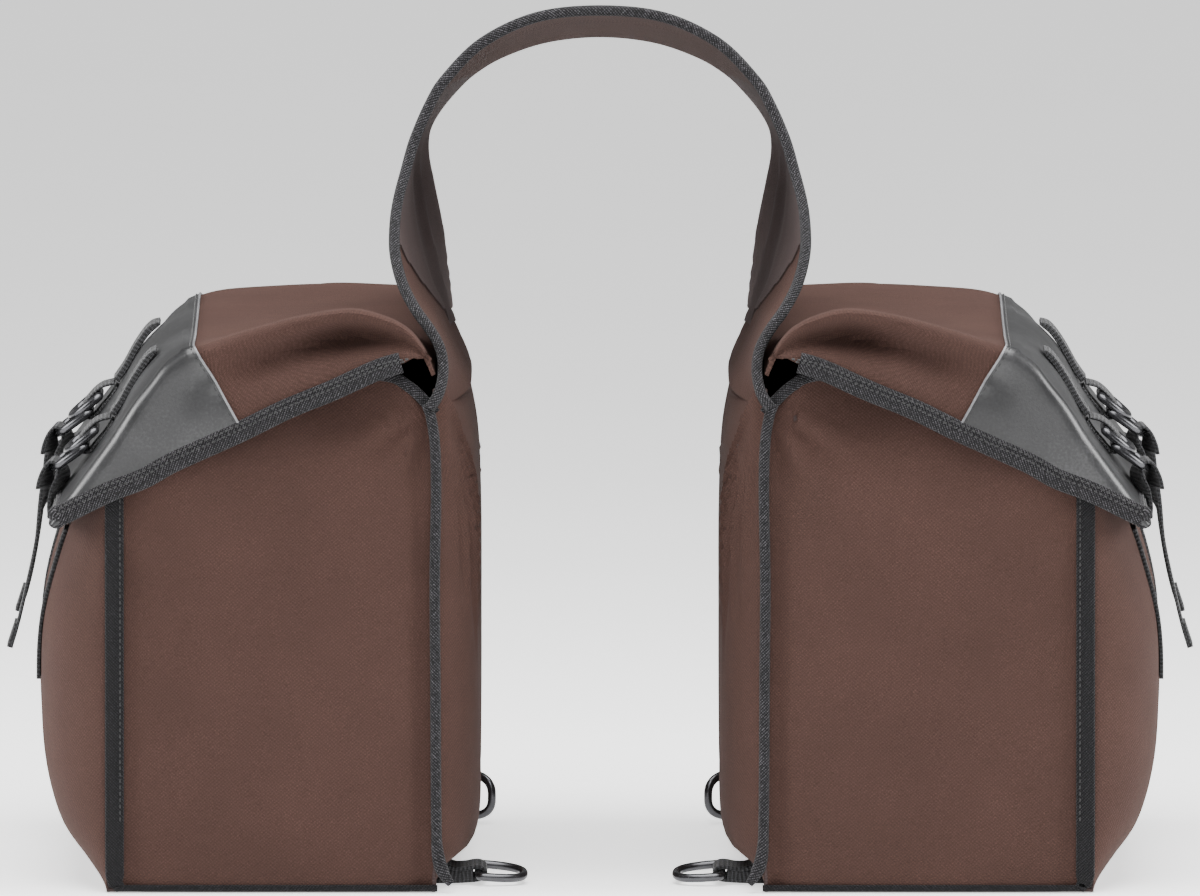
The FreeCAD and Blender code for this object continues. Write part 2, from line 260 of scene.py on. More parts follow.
def sweep(path, ups, profile, closed=False, scale=None):
    """Vertices, faces and uvs of a closed profile (lateral, up) along a path."""
    path = np.array(path, float)
    if closed:
        wrapped = np.vstack([path[-1:], path, path[:1]])
        ups = np.broadcast_to(np.array(ups, float), path.shape)
        wide = np.vstack([ups[-1:], ups, ups[:1]])
        _, lateral, up = (a[1:-1] for a in frames(wrapped, wide))
    else:
        _, lateral, up = frames(path, ups)
    profile = np.array(profile, float)
    count, sides = len(path), len(profile)
    size = np.ones(count) if scale is None else np.array(scale)
    verts = (path[:, None] + lateral[:, None] * (profile[None, :, :1] * size[:, None, None])
             + up[:, None] * (profile[None, :, 1:] * size[:, None, None])).reshape(-1, 3)
    uv = np.stack([np.repeat(run_of(path), sides), np.tile(run_of(profile), count)], axis=1)
    faces = []
    for i in range(count if closed else count - 1):
        a, b = i * sides, ((i + 1) % count) * sides
        faces += [(a + j, b + j, b + (j + 1) % sides, a + (j + 1) % sides) for j in range(sides)]
    if not closed:
        faces += [tuple(range(sides)), tuple(reversed(range((count - 1) * sides, count * sides)))]
    return verts, faces, uv


def rounded(width, thickness, radius, steps=3):
    """Rounded rectangle profile, centred."""
    radius = min(radius, width / 2 - 0.01, thickness / 2 - 0.01)
    points = []
    for cx, cy, start in ((1, -1, -90), (1, 1, 0), (-1, 1, 90), (-1, -1, 180)):
        for i in range(steps + 1):
            a = math.radians(start + 90 * i / steps)
            points.append((cx * (width / 2 - radius) + radius * math.cos(a),
                           cy * (thickness / 2 - radius) + radius * math.sin(a)))
    return points


def wire_profile():
    """Round section of the rings' wire."""
    turns = [2 * math.pi * i / WIRE_SIDES for i in range(WIRE_SIDES)]
    return [(TUBE * math.cos(a), TUBE * math.sin(a)) for a in turns]


def settle(piece, slot, body, *nodes):
    """CAD nodes that a finished piece replaces, its slot (not used) and its body."""
    if nodes:
        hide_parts(*nodes)
    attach(piece, body)


def join(name, parts, materials, side=1, sharp=40):
    """One object from several (verts, faces, uvs) triples."""
    verts, faces, uvs, base = [], [], [], 0
    for part_verts, part_faces, part_uvs in parts:
        verts.append(part_verts)
        uvs.append(part_uvs)
        faces += [tuple(i + base for i in face) for face in part_faces]
        base += len(part_verts)
    return mesh(name, np.vstack(verts), faces, materials, np.vstack(uvs), side=side, sharp=sharp)


def stitch_row(path, ups, pitch=3.2, length=2.3, radius=0.34):
    """Thread lozenges along a path: a list of (verts, faces, uvs)."""
    path = np.array(path, float)
    ups = np.broadcast_to(np.array(ups, float), path.shape)
    count = max(2, int(length_of(path) / pitch))
    both = resample(np.hstack([path, ups]), count)
    spots, normals = both[:, :3], unit(both[:, 3:])
    tangent = unit(np.gradient(spots, axis=0))
    lateral = unit(np.cross(tangent, normals))
    turns = np.linspace(0, 2 * math.pi, STITCH_SIDES, endpoint=False)
    ring = [(math.cos(a), math.sin(a)) for a in turns]
    # corners: the first tip, two rings of sides, the last tip
    second, last = 1 + STITCH_SIDES, 1 + 2 * STITCH_SIDES
    faces = []
    for j in range(STITCH_SIDES):
        k = (j + 1) % STITCH_SIDES
        faces += [(0, 1 + k, 1 + j), (1 + j, 1 + k, second + k, second + j),
                  (last, second + j, second + k)]
    rows = []
    for spot, ahead, aside, up in zip(spots, tangent, lateral, normals):
        spot = spot + up * STITCH_LIFT
        verts = [spot - ahead * length / 2]
        for x in (-0.28, 0.28):
            verts += [spot + ahead * length * x + (aside * c + up * s * 0.8) * radius
                      for c, s in ring]
        verts.append(spot + ahead * length / 2)
        rows.append((np.array(verts), faces, np.zeros((last + 1, 2))))
    return rows


# ---- materials --------------------------------------------------------------
class Shader:
    """Small helper that builds one node material."""

    def __init__(self, name, **sockets):
        self.material = bpy.data.materials.new(name)
        self.material.use_nodes = True
        self.tree = self.material.node_tree
        self.shader = self.tree.nodes["Principled BSDF"]
        for key, value in sockets.items():
            self.shader.inputs[key.replace("_", " ")].default_value = value

    def node(self, kind, inputs=(), **settings):
        made = self.tree.nodes.new(kind)
        for key, value in settings.items():
            setattr(made, key, value)
        for key, value in dict(inputs).items():
            if isinstance(value, bpy.types.NodeSocket):
                self.tree.links.new(value, made.inputs[key])
            else:
                made.inputs[key].default_value = value
        return made

    def math(self, operation, a, b=0.0):
        return self.node("ShaderNodeMath", {0: a, 1: b}, operation=operation).outputs[0]

    def wave(self, value, pitch):
        """Sine of a length in metres, from 0 to 1."""
        turned = self.math("SINE", self.math("MULTIPLY", value, 2 * math.pi / pitch))
        return self.math("ADD", self.math("MULTIPLY", turned, 0.5), 0.5)

    def place(self):
        return self.node("ShaderNodeTexCoord").outputs["Object"]

    def noise(self, scale, detail=3.0, rough=0.5):
        inputs = {"Vector": self.place(), "Scale": scale, "Detail": detail, "Roughness": rough}
        return self.node("ShaderNodeTexNoise", inputs).outputs["Fac"]

    def uv(self):
        """Metres across and along the cloth."""
        found = self.node("ShaderNodeUVMap", uv_map="cloth").outputs[0]
        return self.node("ShaderNodeSeparateXYZ", {0: found}).outputs

    def colour(self, value, stops):
        """Colour ramp from (position, linear colour) stops."""
        made = self.node("ShaderNodeValToRGB", {"Fac": value})
        band = made.color_ramp
        while len(band.elements) < len(stops):
            band.elements.new(0.5)
        for element, (place, rgb) in zip(band.elements, stops):
            element.position = place
            element.color = (*rgb, 1)
        return made.outputs["Color"]

    def bump(self, height, distance, strength=1.0, below=None):
        """Normal bent by a height; below is a normal that it adds to."""
        inputs = {"Height": height, "Distance": distance, "Strength": strength}
        if below is not None:
            inputs["Normal"] = below
        return self.node("ShaderNodeBump", inputs).outputs[0]

    def out(self, key, socket):
        self.tree.links.new(socket, self.shader.inputs[key])


def rgb(r, g, b):
    """Linear colour from 0-255 screen values."""
    return tuple(((c / 255 + 0.055) / 1.055) ** 2.4 if c > 10 else c / 255 / 12.92
                 for c in (r, g, b))


def canvas_material(name, dark, mid, light, rib=0.0019, thread=0.0021, depth=0.0002):
    """Plain-weave cotton canvas: a fine chequer of threads over and under."""
    s = Shader(name, Roughness=0.92, Sheen_Weight=0.1, Sheen_Roughness=0.5,
               Sheen_Tint=(*light, 1), Specular_IOR_Level=0.15)
    x, y = s.uv()[0], s.uv()[1]
    wobble = s.math("MULTIPLY", s.noise(420, 3), 0.0016)
    ribs = s.wave(s.math("ADD", y, wobble), rib)
    threads = s.wave(s.math("SUBTRACT", x, wobble), thread)
    cross = s.math("MULTIPLY", s.math("SUBTRACT", ribs, 0.5), s.math("SUBTRACT", threads, 0.5))
    weave = s.math("ADD", s.math("MULTIPLY", cross, 2.0), 0.5)
    slub = s.noise(1700, 2)
    patch = s.noise(22, 4)
    height = s.math("ADD", weave, s.math("MULTIPLY", slub, 0.5))
    tone = s.math("ADD", s.math("MULTIPLY", weave, 0.22), s.math("MULTIPLY", slub, 0.6))
    tone = s.math("ADD", tone, s.math("MULTIPLY", patch, 0.16))
    s.out("Base Color", s.colour(tone, [(0.22, dark), (0.55, mid), (0.9, light)]))
    soft = s.bump(s.noise(120, 3), 0.0006, 0.5)
    s.out("Normal", s.bump(height, depth, 0.9, soft))
    return s.material


def tape_material(name, dark, mid, light):
    """Twill tape: slanted ridges with light flecks where threads catch the light."""
    pitch = 0.0017
    s = Shader(name, Roughness=0.85, Sheen_Weight=0.05, Specular_IOR_Level=0.2)
    x, y = s.uv()[0], s.uv()[1]
    slant = s.math("ADD", x, y)
    ridge = s.wave(slant, pitch)
    cross = s.wave(s.math("SUBTRACT", x, y), pitch * 0.9)
    weave = s.math("MULTIPLY", ridge, s.math("ADD", s.math("MULTIPLY", cross, 0.5), 0.5))
    fleck = s.noise(800, 1, rough=0.8)
    tone = s.math("ADD", s.math("MULTIPLY", weave, 0.4), s.math("MULTIPLY", fleck, 0.72))
    s.out("Base Color", s.colour(tone, [(0.3, dark), (0.58, mid), (0.86, light)]))
    s.out("Normal", s.bump(s.math("ADD", weave, fleck), 0.0005, 1.0))
    return s.material


def webbing_material(name, dark, mid, light):
    """Ribbed webbing: cords run across, finer threads along."""
    s = Shader(name, Roughness=0.7, Sheen_Weight=0.15, Specular_IOR_Level=0.35)
    x, y = s.uv()[0], s.uv()[1]
    cords = s.wave(x, 0.0021)
    fine = s.wave(y, 0.0009)
    weave = s.math("ADD", s.math("MULTIPLY", cords, 0.75), s.math("MULTIPLY", fine, 0.25))
    tone = s.math("ADD", s.math("MULTIPLY", weave, 0.7), s.math("MULTIPLY", s.noise(2500, 2), 0.35))
    s.out("Base Color", s.colour(tone, [(0.25, dark), (0.6, mid), (0.95, light)]))
    s.out("Normal", s.bump(weave, 0.0006, 1.0))
    return s.material


def leather_material(name, dark, mid, light):
    """Smooth coated leather: fine grain, soft cloudy tone, worn sheen."""
    s = Shader(name, Specular_IOR_Level=0.6, Coat_Weight=0.08, Coat_Roughness=0.4)
    cloud = s.noise(15, 3)
    pores = s.node("ShaderNodeTexVoronoi", {"Vector": s.place(), "Scale": 1500.0}).outputs["Distance"]
    grain = s.noise(700, 4)
    tone = s.math("ADD", s.math("MULTIPLY", cloud, 0.6), s.math("MULTIPLY", grain, 0.4))
    s.out("Base Color", s.colour(tone, [(0.3, dark), (0.5, mid), (0.72, light)]))
    rough = s.math("ADD", s.math("MULTIPLY", s.noise(60, 3), 0.18), 0.24)
    s.out("Roughness", rough)
    fine = s.bump(pores, 0.00006, 0.5)
    s.out("Normal", s.bump(grain, 0.00012, 0.5, fine))
    return s.material


def metal_material(name, colour):
    """Black-nickel wire with faint polishing marks."""
    s = Shader(name, Metallic=0.85)
    mark = s.noise(500, 3)
    s.out("Base Color", s.colour(mark, [(0.3, tuple(c * 0.8 for c in colour)), (0.7, colour)]))
    s.out("Roughness", s.math("ADD", s.math("MULTIPLY", mark, 0.16), 0.16))
    s.out("Normal", s.bump(s.noise(1400, 2), 0.00003, 0.4))
    return s.material


def thread_material(name, dark, light):
    """Twisted thread; it serves for the plain black boards too."""
    s = Shader(name, Roughness=0.6, Sheen_Weight=0.2)
    twist = s.noise(4000, 2)
    s.out("Base Color", s.colour(twist, [(0.35, dark), (0.65, light)]))
    s.out("Normal", s.bump(twist, 0.0001, 0.7))
    return s.material


CANVAS_MAT = canvas_material("brown_canvas", rgb(40, 28, 24), rgb(62, 44, 39), rgb(94, 69, 61))
# charcoal inside of the bags, back of the leather and inside of the arch; its colour is also darkened to
# paint the shade inside the arch's legs
LINING_AND_SHADE_MAT = canvas_material("charcoal_lining_and_painted_shade", rgb(38, 31, 30), rgb(64, 53, 52), rgb(90, 76, 74),
                             rib=0.0016, thread=0.0016, depth=0.0001)
TAPE_MAT = tape_material("charcoal_tape", rgb(8, 8, 9), rgb(26, 25, 27), rgb(88, 86, 90))
DARK_TAPE_MAT = tape_material("dark_tape", rgb(5, 5, 6), rgb(12, 11, 13), rgb(38, 36, 40))
WEB_MAT = webbing_material("black_webbing", rgb(5, 5, 6), rgb(19, 19, 21), rgb(56, 56, 60))
LEATHER_MAT = leather_material("grey_leather", rgb(20, 20, 21), rgb(38, 38, 39), rgb(68, 68, 69))
EDGE_MAT = leather_material("leather_edge", rgb(90, 90, 92), rgb(116, 116, 118), rgb(140, 140, 142))
METAL_MAT = metal_material("black_nickel", (0.075, 0.075, 0.08))
# near-black stitches: dark thread, made darker still to paint the shadows that show each stitch as a dark
# mark
THREAD_AND_SHADOW_MAT = thread_material("dark_thread_and_painted_shadow", rgb(4, 4, 5), rgb(14, 14, 15))
BOARD_MAT = thread_material("black_board", rgb(14, 14, 14), rgb(26, 26, 26))


# ---- bag shell --------------------------------------------------------------
def tuck(u, z):
    """How far the mouth of the bag is drawn in below the flap."""
    deep = 11.5 * hump(u, 134, 33) + 5.5 * hump(u, 184, 22)
    return deep * ramp(z, 196, 262) ** 1.4


GUSSET_ROWS, GUSSET_COLUMNS = 49, 61
PANEL_COLUMNS = 121         # across the rack panel and the outer panel


def gusset_grid(end):
    """End panel of a bag, end -1 is the rear and +1 the front."""
    top = smooth(MOUTH_LINE, GUSSET_COLUMNS)
    across = np.linspace(0, 1, GUSSET_COLUMNS)[None]
    u = U_RACK + (U_OUT - U_RACK) * across
    z = np.interp(u, top[:, 0], top[:, 1]) * np.linspace(0, 1, GUSSET_ROWS)[:, None]
    # the filled bag pushes its middle out
    belly = 3.4 * (1 - np.abs(2 * across - 1) ** 5) * ramp(z, -30, 60) * ramp(-z, -262, -150)
    # short folds fan out from the upper rack corner
    fan = np.arctan2(256 - z, u - U_RACK + 6)
    away = np.hypot(256 - z, u - U_RACK + 6)
    pull = 3.0 * np.sin(fan * 14 + 0.6) * hump(away, 30, 24) * ramp(fan, 0.15, 0.5)
    # a soft lip below the mouth, a sag at the outer corner, slack all over
    lip = 3.2 * hump(u, 104, 13) * hump(z, 241, 13)
    sag = 0.9 * hump(u, 236, 22) * hump(z, 178, 40) * np.sin((u * 0.8 - z) / 8)
    slack = 1.3 * np.sin(u / 23 + z / 52 + np.sin(z / 35)) * hump(z, 140, 95)
    free = np.minimum(1, np.minimum(across, 1 - across) * 12)
    # the stitching presses a groove beside each seam
    groove = 2.4 * hump(u, U_RACK + 6.5, 4) + 1.0 * hump(u, U_OUT - 12.5, 4)
    y = HALF - 0.8 + (belly + pull + lip + sag + slack) * free - tuck(u, z) - groove
    return stacked(u, end * y, z)


# (z, bulge) up the two long panels, bulge being a share of the way to the furthest face
RACK_TOP = 0.68             # what is left of the bulge where the bridge joins the panel
RACK_SIDE = [(0, 0), (6, 0.12), (11, 0.3), (14, 0.5), (18, 0.76), (25, 0.92), (38, 0.99), (60, 1),
             (120, 1), (175, 1), (215, 0.95), (235, 0.84), (250, RACK_TOP), (258, 0.5)]
OUTER_SIDE = [(0, 0.0), (5, 0.12), (14, 0.34), (31, 0.69), (60, 0.92), (97, 1), (133, 0.97),
              (169, 0.7), (190, 0.46), (210, 0.16)]


def rack_plan(y, z):
    """How far the rack panel has come forward from its end seams, 0 to 1."""
    return np.maximum(1 - np.abs(y / HALF) ** (8 - 4.4 * ramp(z, 185, 250)), 0) ** 0.85


def panel_places(profile, rows):
    """y across a long panel, closer together at its ends, with z and bulge up its profile."""
    line = smooth(profile, rows)
    y = HALF * np.sin(np.linspace(-0.5, 0.5, PANEL_COLUMNS) * math.pi)
    return y[None], line[:, :1], line[:, 1:]


def rack_grid():
    y, z, bulge = panel_places(RACK_SIDE, 70)
    plan = rack_plan(y, z)
    # pleats fan down from each upper corner: (lean, reach down the panel)
    pleats = 0
    for lean, reach in ((0.03, 100), (0.13, 125), (0.24, 150), (0.37, 140), (0.52, 110), (0.7, 70)):
        across = np.abs(y) - (HALF - 9 - (262 - z) * lean)
        fold = 4.0 * hump(across, 0, 2.3) - 3.2 * hump(across, 5, 3)
        fade = ramp(z, 250 - reach, 250 - reach * 0.25) * (1 - 0.8 * ramp(z, 240, 257))
        pleats = pleats + fold * fade
    ripple = 0.6 + 0.6 * np.sin(y / 31 + z / 47)
    u = U_RACK - (U_RACK - RACK_FACE) * bulge * plan - pleats * np.minimum(1, plan * 2.5)
    return stacked(u + ripple * plan, y, z)


def outer_grid():
    y, z, bulge = panel_places(OUTER_SIDE, 66)
    plan = (1 - np.abs(y / HALF) ** 6) ** 0.7
    # the load slumps low down, and each sewn strap tugs at the cloth
    slump = 1.6 * np.sin(y / 21 + np.sin(z / 30)) * hump(z, 52, 34)
    tug = 1.6 * (hump(np.abs(y), 85, 16) - 0.4 * hump(np.abs(y), 85, 34))
    u = U_OUT + (OUTER_FACE + 2 - U_OUT) * bulge * plan
    return stacked(u + (slump * 0.6 - tug * hump(z, 150, 55)) * plan, y, z)


def base_grid():
    return stacked(np.linspace(U_RACK, U_OUT, 31)[:, None], np.linspace(-HALF, HALF, 61)[None], 0.1)


def shell(side, name):
    """Canvas panels of one bag, charcoal on the inside."""
    seams = (f"{name}_outer_seam_binding", f"{name}_rack_seam_binding")
    panels = [(f"{word}_gusset", f"{word}_gusset", "gusset", gusset_grid(end), (0, end, 0), seams)
              for end, word in ENDS]
    panels += [
        ("rack_panel", "rack_panel", "rack_panel", rack_grid(), (-1, 0, 0), (f"{name}_rack_board",)),
        ("outer_panel", "outer_panel", "outer_panel", outer_grid(), (1, 0, 0), seams),
        ("base", "base_panel", "base", base_grid(), (0, 0, -1), (f"{name}_base_board",)),
    ]
    for word, node, kind, grid, facing, rests_on in panels:
        piece = cloth(f"{name}_{word}_cloth", grid, CANVAS, [CANVAS_MAT, LINING_AND_SHADE_MAT], side, facing)
        settle(piece, "canvas", "bags", f"{name}_{node}")


def on_end(line, end, stand):
    """A (u, z) line laid on an end panel, standing off its plane."""
    return np.stack([line[:, 0], np.full(len(line), end * (HALF + stand)), line[:, 1]], axis=1)


def outer_seam(side, name):
    """Folded tape up both end panels with a rounded foot, narrower along the floor."""
    middle = U_OUT - 4.2
    line = smooth([(middle, 211), (middle, 120), (middle, 12), (middle - 1, 5), (middle - 3.2, 1.6)], 120)
    size = 1 - 0.45 * ramp(-line[:, 1], -9, -1)
    floor_line = np.array([(U_OUT - 7, 2.0), (U_RACK - 1, 2.0)])
    parts, rows = [], []
    for end, _ in ENDS:
        up = (0, end, 0)
        path = on_end(line, end, 1.0)
        parts.append(sweep(path, up, rounded(9.6, 2.8, 1.1), scale=size))
        parts.append(sweep(resample(on_end(floor_line, end, 0.6), 60), up, rounded(3.4, 2.4, 1.0)))
        rows += stitch_row(path[:96] + [-2.9, end * 1.5, 0], up)
    tape = join(f"{name}_outer_seam_tape", parts, [DARK_TAPE_MAT], side)
    settle(tape, "tape", "bags", f"{name}_outer_seam_binding")
    settle(join(f"{name}_outer_seam_stitches", rows, [THREAD_AND_SHADOW_MAT], side), "tape", "bags")


def rack_seam(side, name):
    """Narrow piping that hooks over the mouth's tape and flares at the bottom corner."""
    line = smooth([(U_RACK + 4.4, 250.5), (U_RACK + 2.2, 244), (U_RACK + 0.2, 230),
                   (U_RACK - 0.4, 205), (U_RACK + 0.3, 160), (U_RACK, 110), (U_RACK - 0.4, 40),
                   (U_RACK - 1.2, 20), (U_RACK - 4, 10), (U_RACK - 8, 4.4)], 110)
    size = 1 + 0.25 * ramp(-line[:, 1], -30, -14) - 0.45 * ramp(-line[:, 1], -12, -4)
    parts = [sweep(on_end(line, end, 1.2), (0, end, 0), rounded(5.4, 4.6, 2.1, 4), scale=size)
             for end, _ in ENDS]
    tape = join(f"{name}_rack_seam_tape", parts, [TAPE_MAT], side)
    settle(tape, "tape", "bags", f"{name}_rack_seam_binding")


def mouth_binding(side, name):
    """Tape over the top edges of the end panels and the outer panel."""
    line = smooth(MOUTH_LINE, 110)
    parts = []
    for end, _ in ENDS:
        path = on_end(line - [0, 1.6], end, -0.6)
        path[:, 1] -= end * tuck(line[:, 0], line[:, 1])
        parts.append(sweep(path, (0, end, 0), rounded(6.0, 3.2, 1.5)))
    top = outer_grid()[-1] - [0.8, 0, 2.0]
    parts.append(sweep(resample(top, 90), (1, 0, 0), rounded(6.0, 3.0, 1.4)))
    tape = join(f"{name}_mouth_tape", parts, [TAPE_MAT], side)
    settle(tape, "tape", "bags", f"{name}_mouth_binding")


# ---- flap -------------------------------------------------------------------
FLAP_ROWS = 84              # from the root to the front edge
SKIRT_STEPS, TURN_STEPS, TOP_STEPS = 14, 7, 44          # columns down, round and over
ROOT_ROWS = 2               # rows at the root that the hem tape leaves bare


def flap_lines():
    """Top line and hem line of the flap, and the row that the leather's seam follows in both."""
    seam = next(i for i, p in enumerate(FLAP_LINE) if p[0] == SEAM_POINT)
    back, front = FLAP_ROWS // 2, FLAP_ROWS - FLAP_ROWS // 2
    lines = []
    for points, at in ((FLAP_LINE, seam), (HEM_LINE, HEM_SEAM)):
        fine = smooth(points, 400)
        split = int(np.argmin(np.linalg.norm(fine - points[at], axis=1)))
        lines.append(np.vstack([resample(fine[:split + 1], back + 1)[:-1],
                                resample(fine[split:], front)]))
    return (*lines, back)


def droop(u, y):
    """How far the lid's front corner sinks toward the front end."""
    return 6.5 * ramp(y, 10, 165) * hump(u, 223, 18)


def flap_grid():
    """Whole flap: rows run root to front, columns from the rear hem to the front hem."""
    top, hem, _ = flap_lines()
    rows, shares = [], []
    for (tu, tz), (hu, hz) in zip(top, hem):
        drop = max(math.hypot(tu - hu, tz - hz), 0.01)
        down = np.array([hu - tu, hz - tz]) / drop
        turn = min(6.0, drop * 0.6)
        line = [(-SKIRT, d) for d in np.linspace(drop, turn, SKIRT_STEPS)]
        for i in range(1, TURN_STEPS):
            a = math.radians(90 * i / TURN_STEPS)
            line.append((-SKIRT + turn * (1 - math.cos(a)), turn * (1 - math.sin(a))))
        middle = SKIRT - turn
        line += [(y, 0.0) for y in np.linspace(-middle, middle, TOP_STEPS)]
        line += [(-y, d) for y, d in reversed(line[:SKIRT_STEPS + TURN_STEPS - 1])]
        rows.append([(tu + down[0] * d, y, tz + down[1] * d) for y, d in line])
        shares.append([d / drop for _, d in line])
    grid, share = np.array(rows), np.array(shares)
    u, y, z = grid[..., 0].copy(), grid[..., 1].copy(), grid[..., 2].copy()
    end = np.abs(y)
    outward = np.sign(y)
    # ridge along each end crease, highest beside the bridge, falling to the corner
    crest = smooth([(84, -10), (87, -3), (91, 4), (98, 11.5), (110, 17.5), (127, 21),
                    (151, 17.5), (175, 11.5), (197, 5), (212, 1.5), (225, 0), (290, 0)], 300)
    rise = np.interp(u, crest[:, 0], crest[:, 1])
    near = ramp(end, 70, 160) ** 1.6 * np.where(y < 0, 1, 0.06)
    z += rise * near * (1 - share) ** 1.6
    # the skirt is drawn in under the ridge
    skirt = ramp(end, 150, 166)
    hollow = 19 * hump(u + share * 14, 134, 28) * hump(share, 0.3, 0.16)
    second = 8 * hump(u + share * 14, 178, 22) * hump(share, 0.36, 0.17)
    puff = 2.2 * hump(u, 158, 18) * hump(share, 0.62, 0.2)
    brow = 5.5 * hump(u, 130, 32) * hump(share, 0.02, 0.1)
    y -= outward * (hollow + second - puff - brow) * skirt
    # soft leather: a dimple beside each strap's end
    dent = 3.6 * hump(u, 232, 10) * hump(end, 150, 24)
    z -= dent * 0.6
    u -= dent * 0.8
    # slack over the top
    z -= 2.2 * hump(u, 150, 48) * hump(y, 10, 95)
    z += 0.5 * np.sin(y / 27 + u / 19) * hump(u, 150, 50) * (1 - near)
    # the front corner of the lid droops toward the front end
    z -= droop(u, y) + 1.0 * ramp(y, 60, 165) * (1 - share)
    # the root lies against the bridge
    u = np.maximum(u, bridge_u(y, z) + 1.4)
    return np.stack([u, y, z], axis=2)


def flap(side, name):
    body = f"{name}_flap"
    grid = flap_grid()
    _, _, back = flap_lines()
    inner = cloth(f"{name}_flap_cloth", grid[:back + 2], FLAP_CLOTH, [CANVAS_MAT], side)
    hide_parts(f"{name}_flap_root", f"{name}_flap_canvas")
    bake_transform(inner)
    patch = cloth(f"{name}_flap_leather", grid[back:], FLAP_CLOTH + 0.6, [LEATHER_MAT, LINING_AND_SHADE_MAT], side,
                  offset=0.9)
    settle(patch, "leather", body, f"{name}_flap_patch")
    # light cut edge of the leather along its seam, and its stitches
    normal = grid_normals(grid)
    seam = grid[back] + normal[back] * 1.0
    verts, faces, uv = sweep(seam, normal[back], rounded(1.2, 1.0, 0.45))
    settle(mesh(f"{name}_leather_edge", verts, faces, [EDGE_MAT], uv, side=side), "leather", body)
    row = grid[back] * 0.35 + grid[back + 1] * 0.65 + normal[back] * 1.1
    rows = stitch_row(row, normal[back], pitch=3.6, length=2.4)
    settle(join(f"{name}_leather_stitches", rows, [THREAD_AND_SHADOW_MAT], side), "leather", body)
    hem_tape(side, name, grid, normal)


def hem_tape(side, name, grid, normal):
    """Folded tape round the flap's hem: rear skirt, front edge, front skirt."""
    body = f"{name}_flap"
    grid, normal = grid[ROOT_ROWS:], normal[ROOT_ROWS:]
    rear, front, lip = grid[:, 0], grid[:, -1][::-1], grid[-1]
    path = np.vstack([rear[:-1], lip, front[1:]])
    ups = np.vstack([normal[:-1, 0], normal[-1], normal[::-1, -1][1:]])
    inward = np.vstack([unit(grid[:, 2] - grid[:, 0])[:-1], unit(grid[-3] - grid[-1]),
                        unit(grid[:, -3] - grid[:, -1])[::-1][1:]])
    both = resample(np.hstack([path, ups, inward]), 420)
    path, ups, inward = both[:, :3], unit(both[:, 3:6]), unit(both[:, 6:])
    # round off the corners, where the three runs meet
    for _ in range(6):
        path[1:-1] = (path[:-2] + path[1:-1] * 2 + path[2:]) / 4
        ups[1:-1] = unit(ups[:-2] + ups[1:-1] * 2 + ups[2:])
        inward[1:-1] = unit(inward[:-2] + inward[1:-1] * 2 + inward[2:])
    middle = path + inward * 4.0 + ups * -0.4
    verts, faces, uv = sweep(middle, ups, rounded(10.8, 4.6, 1.7))
    tape = mesh(f"{name}_hem_tape", verts, faces, [TAPE_MAT], uv, side=side)
    settle(tape, "tape", body, f"{name}_flap_binding")
    rows = []
    for shift in (7.6, 5.2):
        rows += stitch_row(path + inward * shift + ups * 1.95, ups, pitch=2.9, length=2.0,
                           radius=0.5)
    settle(join(f"{name}_hem_stitches", rows, [THREAD_AND_SHADOW_MAT], side), "tape", body)


# ---- straps and rings -------------------------------------------------------
def strap_mesh(line, y, width=STRAP_WIDTH, thickness=1.7, count=60, twist=0, blunt=False):
    """Webbing along a (u, z) line at a given y.

    twist turns it about its length where it leaves the ring, so its front edge
    goes in; blunt thins the first end down to the cloth it is sewn on."""
    flat = smooth(line, count)
    path = np.stack([flat[:, 0], np.full(count, y), flat[:, 1]], axis=1)
    tangent = unit(np.gradient(path, axis=0))
    ups = np.cross(tangent, [0, 1, 0])
    verts, faces, uv = sweep(path, ups, rounded(width, thickness, 0.75, 4))
    if blunt:
        run = np.linspace(0, length_of(path), count)
        body = verts.reshape(count, -1, 3)
        body -= (body - path[:, None]) * [1, 0, 1] * (1 - ramp(run, -2, 5) ** 0.5)[:, None, None]
        verts = body.reshape(-1, 3)
    turn = twist * hump(verts[:, 2], 201, 11)
    verts[:, 0] -= turn * (0.3 * (verts[:, 1] - y) + 2.6)
    return verts, faces, uv


def arc(first, last, steps):
    """Cosine and sine at even steps between two angles in degrees."""
    return [(math.cos(a), math.sin(a)) for a in np.radians(np.linspace(first, last, steps))]


def d_path(bar, bow, across, span):
    """Centre line of a D ring: straight bar, round bow."""
    bar, bow, across = (np.array(v, float) for v in (bar, bow, across))
    out = unit(bow - bar)
    depth = np.linalg.norm(bow - bar)
    half, corner = span / 2, 2.6
    points = [(corner + (depth - corner) * abs(c) ** 0.8, half * np.sign(s) * abs(s) ** 0.72)
              for c, s in arc(-90, 90, 25)]
    points += [(corner + corner * c, half - corner + corner * s) for c, s in arc(90, 180, 6)[1:]]
    points += [(corner + corner * c, corner - half + corner * s) for c, s in arc(180, 270, 6)[:-1]]
    flat = resample(points + points[:1], RING_STEPS + 1)[:-1]
    return bar + out * flat[:, :1] + across * flat[:, 1:]


def ring_mesh(bar, bow, across, span):
    """D ring of round wire, from the middle of its bar to the middle of its bow."""
    path = d_path(bar, bow, across, span)
    plane = np.cross(unit(np.array(bow, float) - np.array(bar, float)), across)
    return sweep(path, plane, wire_profile(), closed=True)


